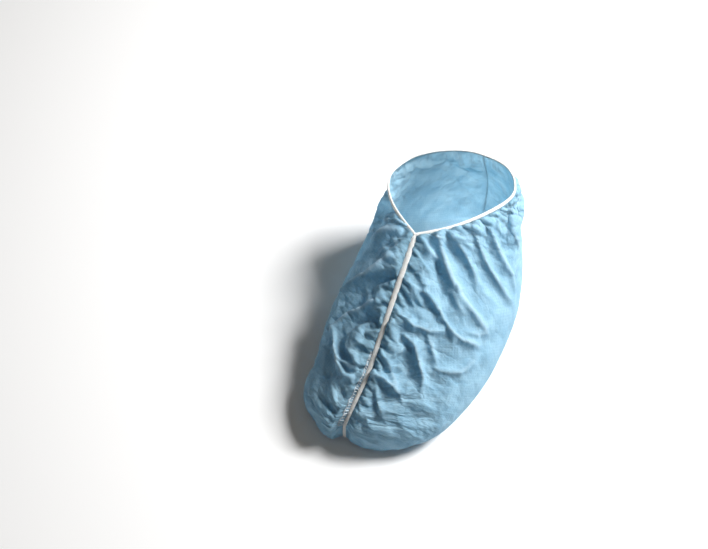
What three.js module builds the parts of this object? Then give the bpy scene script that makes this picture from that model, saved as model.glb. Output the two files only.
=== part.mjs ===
// Non-woven shoe cover, standing open on its sole with the toe towards -Y.
// Two gathered cloth panels meet along one seam that runs from the mouth down the instep,
// round the toe, along the sole and up the heel. A white elastic tape closes that seam,
// and a white elastic binding, folded over the cloth, edges the mouth.
// All sizes are millimetres, and +Z is up.
import * as THREE from "three";
import { mergeVertices } from "three/addons/utils/BufferGeometryUtils.js";

// Driving dimensions
const LENGTH = 300; // toe to heel as worn, drawn in by the elastic
const WALL = 1.2; // cloth wall
const PIECE_GAP = 0.3; // clearance between pieces that touch
const TAPE_WIDTH = 5;
const TAPE_THICK = 1.2;
const TAPE_SEAT = 3.4; // flat cloth on each side of the seam, which the tape lies on
const SOLE_GROOVE = 2.2; // how far the elastic draws the sole seam up off the floor
const BINDING_THICK = 0.9;
const BINDING_GAP = 0.55; // clearance between the binding and the cloth it grips
const BINDING_DEPTH = 3; // how far the binding reaches down over the cloth
const BINDING_MITRE = 0.5; // share of that depth where the rim meets the instep seam
const BINDING_SEAT = 5.5; // flat cloth below the rim, which the binding grips
const TOE_SPRING = 6; // the sole lifts this much at the toe and the heel
const SPRING_TURN = 24; // degrees of turn over which the sole comes down to the floor
const FLAT_SHARE = 0.62; // share of each half of the sole that lies on the floor

// Rows of a table become records with named columns.
function table(columns, rows) {
  return rows.map((row) => Object.fromEntries(columns.map((name, i) => [name, row[i]])));
}

// Sections are stations along the length, by the turn from the toe (0) to the heel (180):
// y = -LENGTH / 2 * cos(turn), so equal turns crowd the sections at both rounded ends.
const MOUTH_TURN = 101; // the mouth's front point, where the instep seam ends

// Forefoot, from the toe to the mouth's front point.
// left, right: half widths; girth: height of the widest line; seamX, crest: the instep seam's
// place; round: degrees of arc that the cloth turns through from its widest line to the seam.
const FOREFOOT = table(
  ["turn", "left", "right", "girth", "seamX", "crest", "round"],
  [
    [0, 0, 0, 13, 0, 28, 88],
    [15, 43, 35, 15, 1, 38, 86],
    [30, 60, 62, 18, 1, 49, 84],
    [45, 65, 80, 21, 0, 61, 82],
    [60, 70, 90, 24, -5, 75, 80],
    [75, 76, 95, 28, -11, 91, 76],
    [90, 81, 94, 33, -18, 104, 70],
    [101, 83, 91, 37, -24, 110, 62],
  ],
);

// Mouth, from its front point to the heel.
// rimLeft, rimRight: the rim's x on each side; riseLeft, riseRight: its height there;
// rake: how far the rim leans towards the toe.
const MOUTH = table(
  ["turn", "left", "right", "girth", "rimLeft", "rimRight", "riseLeft", "riseRight", "round", "rake"],
  [
    [101, 83, 91, 37, -24, -24, 110, 110, 62, 0],
    [110, 83, 86, 40, -60, 5, 109, 117, 40, 1],
    [122, 81, 76, 44, -80, 30, 109, 126, 30, 2],
    [135, 74, 65, 47, -75, 42, 113, 130, 26, 4],
    [150, 56, 49, 50, -58, 36, 117, 130, 24, 8],
    [165, 32, 28, 52, -31, 19, 121, 127, 24, 8],
    [180, 0, 0, 54, -6, -6, 125, 125, 24, 10],
  ],
);

// Main folds of the cloth: each is a soft ridge (height above 0) or dent (below 0) of a given
// width, from one place on a panel to another. side is -1 on the left panel and 1 on the right,
// and climb runs from the sole seam (0) to the panel's top edge (1).
const FOLDS = table(
  ["side", "turn", "climb", "toTurn", "toClimb", "width", "height"],
  [
    [1, 101, 0.94, 112, 0.5, 9, 5],
    [1, 110, 0.94, 126, 0.46, 8, 4],
    [1, 92, 0.93, 100, 0.6, 7, -3.5],
    [1, 84, 0.9, 88, 0.58, 10, 5],
    [1, 70, 0.9, 78, 0.62, 9, -4],
    [1, 60, 0.9, 66, 0.56, 10, 4.5],
    [1, 46, 0.86, 54, 0.6, 8, 3.5],
    [1, 88, 0.62, 72, 0.68, 7, 3],
    [1, 128, 0.92, 140, 0.5, 8, 3.5],
    [-1, 96, 0.9, 84, 0.56, 10, 5],
    [-1, 84, 0.9, 68, 0.58, 9, 4.5],
    [-1, 74, 0.88, 60, 0.62, 7, -3.5],
    [-1, 60, 0.88, 46, 0.56, 9, 5],
    [-1, 42, 0.8, 32, 0.5, 9, 4],
    [-1, 112, 0.9, 104, 0.5, 8, 4],
    [-1, 130, 0.9, 134, 0.48, 8, 3.5],
  ],
);
const TURN_MM = 2.0; // millimetres along the side for a degree of turn
const CLIMB_MM = 215; // millimetres from the sole seam to the top edge

// Gathers that the elastic draws up along each edge: a crest every few columns of the wall.
const GATHER_COLUMNS = 4; // columns of the wall in one gather
const INSTEP_GATHERS = { height: 4.8, reach: 58, slant: 0.6 };
const RIM_GATHERS = { height: 3.6, reach: 48, slant: 0.5 };
const SOLE_GATHERS = { height: 2.2, reach: 28, slant: 0.2 };
const GATHER_SHARES = [1, 0.62, 0.86, 0.5, 0.94, 0.7]; // of that height and reach, repeated along an edge

const FOREFOOT_COLUMNS = 34;
const MOUTH_COLUMNS = 30;
const COLUMNS = FOREFOOT_COLUMNS + MOUTH_COLUMNS;
const ROWS = 17;
const WELD = 1e-3; // points closer than this are one

const { clamp, degToRad, smoothstep } = THREE.MathUtils;

// Smooth curve through one column of a table: cubic pieces with averaged slopes.
function along(table, column, turn) {
  const slope = (i) => (table[i + 1][column] - table[i][column]) / (table[i + 1].turn - table[i].turn);
  const last = table.length - 1;
  const inner = (i) => (slope(i - 1) + slope(i)) / 2;
  const tangent = (i) => {
    if (i === 0) return 1.5 * slope(0) - 0.5 * inner(1);
    if (i === last) return 1.5 * slope(last - 1) - 0.5 * inner(last - 1);
    return inner(i);
  };
  let i = 0;
  while (i < last - 1 && table[i + 1].turn <= turn) i += 1;
  const span = table[i + 1].turn - table[i].turn;
  const t = (turn - table[i].turn) / span;
  return (
    (2 * t ** 3 - 3 * t ** 2 + 1) * table[i][column] +
    (t ** 3 - 2 * t ** 2 + t) * span * tangent(i) +
    (3 * t ** 2 - 2 * t ** 3) * table[i + 1][column] +
    (t ** 3 - t ** 2) * span * tangent(i + 1)
  );
}

function turnOfColumn(column) {
  if (column <= FOREFOOT_COLUMNS) return (MOUTH_TURN * column) / FOREFOOT_COLUMNS;
  return MOUTH_TURN + ((180 - MOUTH_TURN) * (column - FOREFOOT_COLUMNS)) / MOUTH_COLUMNS;
}

// How far the sole stands off the floor at a station, for the rounded toe and heel.
function soleLift(turn) {
  const end = Math.min(turn, 180 - turn);
  return TOE_SPRING * (1 - smoothstep(end, 0, SPRING_TURN));
}

// One half section: the flat sole, the round of its edge and the side up to the seam or the rim.
// x runs outwards from the middle of the sole and y is the height.
function halfSection(side, turn) {
  const inMouth = turn > MOUTH_TURN;
  const table = inMouth ? MOUTH : FOREFOOT;
  const name = side < 0 ? "Left" : "Right";
  const half = Math.max(along(table, name.toLowerCase(), turn), 0);
  const girth = along(table, "girth", turn);
  const topX = side * along(table, inMouth ? "rim" + name : "seamX", turn);
  const topZ = along(table, inMouth ? "rise" + name : "crest", turn);
  const arc = degToRad(along(table, "round", turn));
  const lift = soleLift(turn);
  const flat = FLAT_SHARE * half;
  const wide = (half - topX) / (1 - Math.cos(arc));
  return new THREE.Path()
    .moveTo(0, lift)
    .lineTo(flat, lift)
    .absellipse(flat, girth, half - flat, girth - lift, -Math.PI / 2, 0, false)
    .absellipse(half - wide, girth, wide, (topZ - girth) / Math.sin(arc), 0, arc, false);
}

// Distance of a row from the sole seam, along a section of a given length.
// The first and last rows bound the flat cloth that the tape and the binding lie on.
function rowDistance(row, length, topSeat) {
  if (row === 0) return 0;
  if (row === ROWS) return length;
  const share = (row - 1) / (ROWS - 2);
  return TAPE_SEAT + share * (length - TAPE_SEAT - topSeat);
}

// Height of the gathers along one edge: crests that fade with the distance from the edge.
function gather(kind, column, distance) {
  const phase = column / GATHER_COLUMNS + (kind.slant * distance) / kind.reach;
  const share = GATHER_SHARES[Math.floor(phase + 0.5) % GATHER_SHARES.length];
  const crest = 0.5 + 0.5 * Math.cos(2 * Math.PI * phase);
  const near = 1 - smoothstep(distance, 0, share * kind.reach);
  return kind.height * share * crest * near;
}

// Height of the main folds at a place on a panel.
function fold(side, turn, climb) {
  let height = 0;
  for (const f of FOLDS) {
    if (f.side !== side) continue;
    const run = new THREE.Vector2((f.toTurn - f.turn) * TURN_MM, (f.toClimb - f.climb) * CLIMB_MM);
    const place = new THREE.Vector2((turn - f.turn) * TURN_MM, (climb - f.climb) * CLIMB_MM);
    const share = clamp(place.dot(run) / run.lengthSq(), 0, 1);
    const away = place.distanceTo(run.clone().multiplyScalar(share)) / f.width;
    height += f.height * Math.exp(-(away ** 2));
  }
  return height;
}

// The outer face of one panel as a grid of points, [column][row].
function outerGrid(side) {
  const smooth = [];
  const relief = [];
  for (let column = 0; column <= COLUMNS; column += 1) {
    const turn = turnOfColumn(column);
    const path = halfSection(side, turn);
    const length = path.getLength();
    const inMouth = column > FOREFOOT_COLUMNS;
    const rake = inMouth ? along(MOUTH, "rake", turn) : 0;
    const ends = smoothstep(Math.min(turn, 180 - turn), 4, 26);
    const points = [];
    const heights = [];
    for (let row = 0; row <= ROWS; row += 1) {
      const distance = rowDistance(row, length, inMouth ? BINDING_SEAT : TAPE_SEAT);
      const climb = distance / length;
      const at = path.getPoint(climb);
      const lean = rake * smoothstep(climb, 0.45, 1);
      const groove = row < 2 ? SOLE_GROOVE * ends : 0;
      points.push(
        new THREE.Vector3(
          side * (at.x + PIECE_GAP / 2),
          (-LENGTH / 2) * Math.cos(degToRad(turn)) - lean,
          at.y + groove,
        ),
      );
      const held = row < 2 || row > ROWS - 2;
      const fromTop = length - distance - (inMouth ? BINDING_SEAT : TAPE_SEAT);
      const edge = inMouth ? RIM_GATHERS : INSTEP_GATHERS;
      const onSole = at.y - soleLift(turn) < 0.05;
      const drawnUp = -gather(SOLE_GATHERS, column, distance - TAPE_SEAT);
      const puffedOut = gather(edge, column, fromTop) + fold(side, turn, climb);
      const free = held ? 0 : onSole ? drawnUp : puffedOut;
      heights.push(free * ends);
    }
    smooth.push(points);
    relief.push(heights);
  }
  const normals = gridNormals(smooth, side);
  return smooth.map((points, c) =>
    points.map((p, r) => {
      const moved = p.clone().addScaledVector(normals[c][r], relief[c][r]);
      moved.z = Math.max(moved.z, 0);
      return moved;
    }),
  );
}

// The seam's stops on a panel's grid, from the mouth down the instep, round the toe,
// along the sole and up the heel to the rim.
const SEAM_STOPS = [];
for (let c = FOREFOOT_COLUMNS; c > 0; c -= 1) SEAM_STOPS.push([c, ROWS]);
for (let r = ROWS; r > 0; r -= 1) SEAM_STOPS.push([0, r]);
for (let c = 0; c < COLUMNS; c += 1) SEAM_STOPS.push([c, 0]);
for (let r = 0; r <= ROWS; r += 1) SEAM_STOPS.push([COLUMNS, r]);
const SIDEWAYS = new THREE.Vector3(1, 0, 0);

// Direction of a path at one of its points.
function pathTangent(points, i) {
  const ahead = points[Math.min(i + 1, points.length - 1)];
  return ahead.clone().sub(points[Math.max(i - 1, 0)]).normalize();
}

// Outward normals of a grid. Along the seam they stay in the seam's own plane,
// so that the two panels' walls stay apart there.
function gridNormals(grid, side) {
  const normals = grid.map((points, c) =>
    points.map((p, r) => {
      const before = grid[Math.max(c - 1, 0)][r];
      const after = grid[Math.min(c + 1, COLUMNS)][r];
      const below = points[Math.max(r - 1, 0)];
      const above = points[Math.min(r + 1, ROWS)];
      const lengthwise = new THREE.Vector3().subVectors(after, before);
      const upwards = new THREE.Vector3().subVectors(above, below);
      return lengthwise.cross(upwards).multiplyScalar(side).normalize();
    }),
  );
  const seam = SEAM_STOPS.map(([c, r]) => grid[c][r]);
  SEAM_STOPS.forEach(([c, r], i) => {
    normals[c][r] = pathTangent(seam, i).cross(SIDEWAYS).normalize();
  });
  return normals;
}

// Bends a plane so that its vertices lie on a grid of points, welds it where points meet
// and drops the triangles that collapse there.
function skin(grid, flip) {
  const across = grid.length;
  const down = grid[0].length;
  const plane = new THREE.PlaneGeometry(1, 1, across - 1, down - 1);
  for (let i = 0; i < plane.attributes.position.count; i += 1) {
    plane.attributes.position.setXYZ(i, ...grid[i % across][Math.floor(i / across)]);
  }
  plane.deleteAttribute("normal");
  plane.deleteAttribute("uv");
  const welded = mergeVertices(plane, WELD);
  const kept = [];
  for (let i = 0; i < welded.index.count; i += 3) {
    const [a, b, c] = welded.index.array.slice(i, i + 3);
    if (a === b || b === c || c === a) continue;
    kept.push(...(flip ? [a, c, b] : [a, b, c]));
  }
  welded.setIndex(kept);
  welded.computeVertexNormals();
  return welded;
}

// A panel's wall: each column is a closed loop up the outer face and down the inner one,
// and the loops at the toe and the heel fold flat onto their middle line to close the ends.
function panelGeometry(outer, side) {
  const normals = gridNormals(outer, side);
  const inner = outer.map((points, c) =>
    points.map((p, r) => p.clone().addScaledVector(normals[c][r], -WALL)),
  );
  const loop = (up, down) => [...up, ...[...down].reverse(), up[0]];
  const middle = (c) => {
    const line = outer[c].map((p, r) => p.clone().lerp(inner[c][r], 0.5));
    return loop(line, line);
  };
  const loops = outer.map((points, c) => loop(points, inner[c]));
  return skin([middle(0), ...loops, middle(COLUMNS)], side > 0);
}

// Sweeps a closed outline, given as [outwards, across] pairs, along frames of a path.
function sweep(frames, outline, closed) {
  const ring = ({ at, outwards, across, reach = 1 }) => {
    const points = outline.map(([o, a]) =>
      at.clone().addScaledVector(outwards, o).addScaledVector(across, a < 0 ? a * reach : a),
    );
    return [...points, points[0]];
  };
  const rings = frames.map(ring);
  if (closed) return skin([...rings, rings[0]], false);
  const cap = (points) => {
    const centre = new THREE.Vector3();
    points.slice(1).forEach((p) => centre.addScaledVector(p, 1 / outline.length));
    return points.map(() => centre);
  };
  return skin([cap(rings[0]), ...rings, cap(rings[rings.length - 1])], true);
}

// The seam's frames: the middle between the two panels' edges, the outward direction
// and the direction across the tape. They stop short of the binding at both ends.
function seamFrames(left, right) {
  const points = SEAM_STOPS.map(([c, r]) => left[c][r].clone().lerp(right[c][r], 0.5));
  const frames = points.map((at, i) => {
    const tangent = pathTangent(points, i);
    const outwards = tangent.clone().cross(SIDEWAYS).normalize();
    return { at, outwards, across: tangent.cross(outwards) };
  });
  const clear = BINDING_DEPTH * Math.SQRT2 + 2 * PIECE_GAP;
  const fromStart = (f) => f.at.distanceTo(points[0]) > clear;
  const fromEnd = (f) => f.at.distanceTo(points[points.length - 1]) > clear;
  return frames.filter((f) => fromStart(f) && fromEnd(f));
}

// The rim's path: from the mouth's front point back along the left side, round the heel
// and forward along the right side. across points up out of the cloth's edge.
function rimFrames(left, right) {
  const oneSide = (grid, side) => {
    const normals = gridNormals(grid, side);
    const frames = [];
    for (let c = FOREFOOT_COLUMNS; c <= COLUMNS; c += 1) {
      const at = grid[c][ROWS];
      const next = grid[Math.min(c + 1, COLUMNS)][ROWS];
      const last = grid[Math.max(c - 1, FOREFOOT_COLUMNS)][ROWS];
      const tangent = next.clone().sub(last).normalize();
      const outwards = normals[c][ROWS].clone();
      outwards.addScaledVector(tangent, -outwards.dot(tangent)).normalize();
      const across = tangent.clone().cross(outwards).multiplyScalar(-side);
      frames.push({ at, outwards, across });
    }
    return frames;
  };
  const leftSide = oneSide(left, -1);
  const rightSide = oneSide(right, 1);
  const meet = (i, beside, reach) => {
    const at = leftSide[i].at.clone().lerp(rightSide[i].at, 0.5);
    const seamward = leftSide[i].outwards.clone().add(rightSide[i].outwards).normalize();
    const across = leftSide[i].across.clone().add(rightSide[i].across);
    across.addScaledVector(seamward, -across.dot(seamward)).normalize();
    across.multiplyScalar(1 / across.dot(leftSide[i].across));
    const outwards = leftSide[beside].outwards.clone().add(rightSide[beside].outwards).normalize();
    return { at, outwards, across, reach };
  };
  const end = leftSide.length - 1;
  return [
    meet(0, 1, BINDING_MITRE),
    ...leftSide.slice(1, end),
    meet(end, end - 1, 1),
    ...rightSide.slice(1, end).reverse(),
  ];
}

// Elastic tape: a flat strip just outside the cloth.
const TAPE_OUTLINE = [
  [PIECE_GAP, -TAPE_WIDTH / 2],
  [PIECE_GAP, TAPE_WIDTH / 2],
  [PIECE_GAP + TAPE_THICK, TAPE_WIDTH / 2],
  [PIECE_GAP + TAPE_THICK, -TAPE_WIDTH / 2],
];

// Binding: a folded strip whose two arms grip the cloth's edge.
const ARM_OUTER = BINDING_GAP + BINDING_THICK;
const BINDING_OUTLINE = [
  [ARM_OUTER, -BINDING_DEPTH],
  [ARM_OUTER, ARM_OUTER],
  [-WALL - ARM_OUTER, ARM_OUTER],
  [-WALL - ARM_OUTER, -BINDING_DEPTH],
  [-WALL - BINDING_GAP, -BINDING_DEPTH],
  [-WALL - BINDING_GAP, BINDING_GAP],
  [BINDING_GAP, BINDING_GAP],
  [BINDING_GAP, -BINDING_DEPTH],
];

const blueCloth = new THREE.MeshStandardMaterial({ color: 0x86b8d6, roughness: 0.85, metalness: 0 });
const whiteElastic = new THREE.MeshStandardMaterial({ color: 0xe9ece8, roughness: 0.8, metalness: 0 });

function piece(name, geometry, material) {
  const mesh = new THREE.Mesh(geometry, material);
  mesh.name = name;
  return mesh;
}

const leftGrid = outerGrid(-1);
const rightGrid = outerGrid(1);
const cover = new THREE.Group();
cover.add(
  piece("left_panel", panelGeometry(leftGrid, -1), blueCloth),
  piece("right_panel", panelGeometry(rightGrid, 1), blueCloth),
  piece("seam_tape", sweep(seamFrames(leftGrid, rightGrid), TAPE_OUTLINE, false), whiteElastic),
  piece("opening_binding", sweep(rimFrames(leftGrid, rightGrid), BINDING_OUTLINE, true), whiteElastic),
);

// The part's origin is the middle of its box, on the floor.
const box = new THREE.Box3().setFromObject(cover);
const middle = box.getCenter(new THREE.Vector3());
cover.position.set(-middle.x, -middle.y, -box.min.z);

const shoeCover = new THREE.Group();
shoeCover.add(cover);
export default shoeCover;
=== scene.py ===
import math

import bmesh
import bpy
import numpy as np
from mathutils import Matrix, Vector


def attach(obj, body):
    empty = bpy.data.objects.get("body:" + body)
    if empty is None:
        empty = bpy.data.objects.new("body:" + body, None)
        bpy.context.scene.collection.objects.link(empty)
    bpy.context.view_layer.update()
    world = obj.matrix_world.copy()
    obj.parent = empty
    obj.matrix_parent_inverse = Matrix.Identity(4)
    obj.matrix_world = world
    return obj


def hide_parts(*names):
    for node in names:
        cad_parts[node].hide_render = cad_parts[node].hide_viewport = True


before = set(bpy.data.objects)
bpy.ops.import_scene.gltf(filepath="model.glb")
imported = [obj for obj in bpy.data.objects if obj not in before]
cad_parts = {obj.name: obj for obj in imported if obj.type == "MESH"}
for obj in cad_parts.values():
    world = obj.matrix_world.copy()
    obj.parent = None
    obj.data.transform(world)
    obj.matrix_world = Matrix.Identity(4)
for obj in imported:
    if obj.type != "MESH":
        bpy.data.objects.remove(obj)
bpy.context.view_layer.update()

scene = bpy.context.scene


# Camera: stands before the toe, a little to the right and well above it, as the photograph was taken.
# It comes first, because the folds of the cloth are placed by what it sees. The cover's seam lies
# PLAN_SHIFT millimetres beside the frame's middle.
MM = 0.001
PLAN_SHIFT = -3.985
PHOTO_WIDE, PHOTO_HIGH = 708, 549
LENS, SENSOR = 60.0, 36.0
CAMERA_TURN, CAMERA_RISE, CAMERA_FAR = math.radians(30), math.radians(56), 1.18
LOOKED_AT = Vector((PLAN_SHIFT * MM, 0, 50 * MM))
LOOKED_AT_PIXEL = (420, 299)

away = Vector((math.sin(CAMERA_TURN) * math.cos(CAMERA_RISE),
               -math.cos(CAMERA_TURN) * math.cos(CAMERA_RISE), math.sin(CAMERA_RISE)))
rightward = Vector((math.cos(CAMERA_TURN), math.sin(CAMERA_TURN), 0))
upward = away.cross(rightward)
pixels_per_slope = PHOTO_WIDE * LENS / SENSOR
pixel = CAMERA_FAR / pixels_per_slope
camera_place = (LOOKED_AT + away * CAMERA_FAR
                - rightward * (LOOKED_AT_PIXEL[0] - PHOTO_WIDE / 2) * pixel
                + upward * (LOOKED_AT_PIXEL[1] - PHOTO_HIGH / 2) * pixel)
camera = bpy.data.objects.new("camera", bpy.data.cameras.new("camera"))
camera.data.lens = LENS
camera.data.sensor_width = SENSOR
camera.matrix_world = (Matrix.Translation(camera_place)
                       @ Matrix((rightward, upward, away)).transposed().to_4x4())
scene.collection.objects.link(camera)
scene.camera = camera


def seen_at(points):
    """The photograph's pixel of each point, given in metres."""
    from_camera = points - np.array(camera_place)
    depth = -(from_camera @ np.array(away))
    x = PHOTO_WIDE / 2 + from_camera @ np.array(rightward) / depth * pixels_per_slope
    y = PHOTO_HIGH / 2 - from_camera @ np.array(upward) / depth * pixels_per_slope
    return np.stack([x, y], axis=-1)


# Cloth panels: two halves of thin blue spunbond cloth, cut flat and sewn together along the middle.
# The elastic on every edge draws them in, so the cloth gathers there and falls in folds on the sides.
# Sizes are millimetres, by the turn from the toe (0) to the heel (180) at each section.
LENGTH = 300.0
MOUTH_TURN, HEEL_TURN = 101.0, 180.0
HALF_SEAM_GAP = 0.02
FLAT_SHARE = 0.62
TOE_SPRING = 6.0
SPRING_TURN = 24.0
SOLE_GROOVE = 2.2
TAPE_SEAT = 3.4
BINDING_SEAT = 5.0
CLOTH_THICK = 0.3
TOE_LOBE_LEFT, TOE_LOBE_LEFT_AT = 9.5, 13.0
TOE_LOBE_RIGHT, TOE_LOBE_RIGHT_AT = 3.5, 21.0
TOE_LOBE_WIDE = 24.0

forefoot_names = ("turn", "left", "right", "girth", "seam_x", "crest", "round")
forefoot_rows = (
    (0, 0, 0, 13, 0, 28, 88),
    (15, 42, 35, 15, 1, 38, 86),
    (30, 56, 62, 18, 1, 49, 84),
    (45, 61, 80, 21, 0, 61, 82),
    (60, 68, 90, 24, -5, 75, 80),
    (75, 76, 95, 28, -11, 91, 76),
    (90, 81, 94, 33, -18, 104, 70),
    (101, 83, 91, 37, -24, 110, 62),
)
mouth_names = ("turn", "left", "right", "girth", "rim_left", "rim_right",
               "rise_left", "rise_right", "round", "rake")
mouth_rows = (
    (101, 83, 91, 37, -24, -24, 110, 110, 62, 0),
    (110, 83, 86, 40, -60, 5, 109, 117, 40, 1),
    (122, 81, 73, 44, -80, 30, 109, 126, 30, 2),
    (135, 74, 61, 47, -75, 42, 113, 130, 26, 4),
    (150, 56, 46, 50, -58, 36, 117, 130, 24, 8),
    (165, 32, 28, 52, -31, 19, 121, 127, 24, 8),
    (180, 0, 0, 54, -6, -6, 125, 125, 24, 10),
)


def smooth(x, low, high):
    """An eased step, from 0 at the low end to 1 at the high end."""
    t = np.clip((x - low) / (high - low), 0.0, 1.0)
    return t * t * (3 - 2 * t)


def from_end(turn):
    """A turn counted from the nearer end, the toe or the heel."""
    return np.minimum(turn, HEEL_TURN - turn)


def run_of(path):
    """Running length at each point of a path."""
    return np.concatenate([[0], np.cumsum(np.linalg.norm(np.diff(path, axis=0), axis=1))])


def station(names, rows, name, turn):
    """One column of a table at a turn, on a smooth curve through its rows."""
    k = names.index(name)
    last = len(rows) - 1
    rise = [(rows[i + 1][k] - rows[i][k]) / (rows[i + 1][0] - rows[i][0]) for i in range(last)]
    slopes = [0.0] + [(rise[i - 1] + rise[i]) / 2 for i in range(1, last)] + [0.0]
    slopes[0] = 1.5 * rise[0] - 0.5 * slopes[1]
    slopes[last] = 1.5 * rise[last - 1] - 0.5 * slopes[last - 1]
    i = max(j for j in range(last) if j == 0 or rows[j][0] <= turn)
    span = rows[i + 1][0] - rows[i][0]
    t = (turn - rows[i][0]) / span
    return ((2 * t**3 - 3 * t**2 + 1) * rows[i][k] + (t**3 - 2 * t**2 + t) * span * slopes[i]
            + (3 * t**2 - 2 * t**3) * rows[i + 1][k] + (t**3 - t**2) * span * slopes[i + 1])


FOOT_POINTS, EDGE_POINTS, WALL_POINTS = 20, 40, 90


def half_section(side, turn):
    """Points and running length up one half section: the flat sole, its rounded edge and the side."""
    in_mouth = turn > MOUTH_TURN
    names, rows = (mouth_names, mouth_rows) if in_mouth else (forefoot_names, forefoot_rows)
    hand = "left" if side < 0 else "right"
    half = max(station(names, rows, hand, turn), 0.0)
    girth = station(names, rows, "girth", turn)
    top_x = side * station(names, rows, "rim_" + hand if in_mouth else "seam_x", turn)
    top_z = station(names, rows, "rise_" + hand if in_mouth else "crest", turn)
    arc = math.radians(station(names, rows, "round", turn))
    lift = TOE_SPRING * (1 - smooth(from_end(turn), 0, SPRING_TURN))
    flat = FLAT_SHARE * half
    wide = (half - top_x) / (1 - math.cos(arc))
    foot = np.linspace(0, 1, FOOT_POINTS)[:, None] * (flat, 0) + (0, lift)
    a = np.linspace(-math.pi / 2, 0, EDGE_POINTS)[1:]
    edge = np.stack([flat + (half - flat) * np.cos(a), girth + (girth - lift) * np.sin(a)], axis=1)
    a = np.linspace(0, arc, WALL_POINTS)[1:]
    wall_x = half - wide + wide * np.cos(a)
    wall_z = girth + (top_z - girth) * np.sin(a) / math.sin(arc)
    line = np.concatenate([foot, edge, np.stack([wall_x, wall_z], axis=1)])
    return line, run_of(line), flat


SOLE_ROWS, SIDE_ROWS = 12, 48
ROWS = SOLE_ROWS + SIDE_ROWS
COLUMNS = 200
MOUTH_COLUMN = round(COLUMNS * 0.56)


def column_turn(column):
    """The turn at a column of the grid, one of which stands at the front of the mouth."""
    if column <= MOUTH_COLUMN:
        return MOUTH_TURN * column / MOUTH_COLUMN
    return MOUTH_TURN + (HEEL_TURN - MOUTH_TURN) * (column - MOUTH_COLUMN) / (COLUMNS - MOUTH_COLUMN)


GROOVE_TURNS, GROOVE_WIDE = (4, 26), 14
TREAD_TURNS, LEAST_TREAD = (14, 40), 0.5
LEAST_SOLE_SHARE = 0.2
SHORT_SECTION = 40
RAKED_FROM = 0.45
LOBE_OFF_SEAM, LOBE_FORWARD = (1, 10), (105, 142)


def plain_panel(side):
    """The panel's plain form as [column, row] points, each point's way up its section, and two widths:
    the sole's, and the part of it with the tread print."""
    points = np.zeros((COLUMNS + 1, ROWS + 1, 3))
    climb = np.zeros((COLUMNS + 1, ROWS + 1))
    sole = np.zeros((COLUMNS + 1, 1))
    tread = np.zeros((COLUMNS + 1, 1))
    for c in range(COLUMNS + 1):
        turn = column_turn(c)
        line, run, flat = half_section(side, turn)
        top = run[-1]
        seat = BINDING_SEAT if turn > MOUTH_TURN else TAPE_SEAT
        sole_end = max(flat, LEAST_SOLE_SHARE * top)
        reach = top * np.linspace(0, 1, ROWS + 1)
        if top > SHORT_SECTION:
            reach = np.concatenate([
                [0.0, TAPE_SEAT],
                TAPE_SEAT + (sole_end - TAPE_SEAT) * np.arange(1, SOLE_ROWS) / (SOLE_ROWS - 1),
                sole_end + (top - seat - sole_end) * np.arange(1, SIDE_ROWS - 1) / (SIDE_ROWS - 2),
                [top - seat / 2, top],
            ])
        rake = station(mouth_names, mouth_rows, "rake", turn) if turn > MOUTH_TURN else 0.0
        raked = rake * smooth(reach / top, RAKED_FROM, 1)
        ends = smooth(from_end(turn), *GROOVE_TURNS)
        groove = (1 - smooth(reach, TAPE_SEAT, GROOVE_WIDE)) * SOLE_GROOVE * ends
        points[c, :, 0] = side * (np.interp(reach, run, line[:, 0]) + HALF_SEAM_GAP) + PLAN_SHIFT
        points[c, :, 1] = -LENGTH / 2 * math.cos(math.radians(turn)) - raked
        points[c, :, 2] = np.interp(reach, run, line[:, 1]) + groove
        climb[c] = reach
        sole[c] = sole_end
        tread[c] = max(flat * smooth(from_end(turn), *TREAD_TURNS), LEAST_TREAD)
    stand, at = (TOE_LOBE_LEFT, TOE_LOBE_LEFT_AT) if side < 0 else (TOE_LOBE_RIGHT, TOE_LOBE_RIGHT_AT)
    from_seam = side * (points[:, :, 0] - PLAN_SHIFT)
    lobe = np.exp(-(((from_seam - at) / TOE_LOBE_WIDE) ** 2)) * smooth(from_seam, *LOBE_OFF_SEAM)
    points[:, :, 1] -= stand * lobe * smooth(-points[:, :, 1], *LOBE_FORWARD)
    return points, climb, sole, tread


def outward_of(points, side):
    """Outward direction at each point of a panel."""
    out = np.cross(np.gradient(points, axis=0), np.gradient(points, axis=1)) * side
    return out / np.maximum(np.linalg.norm(out, axis=2, keepdims=True), 1e-9)


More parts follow.
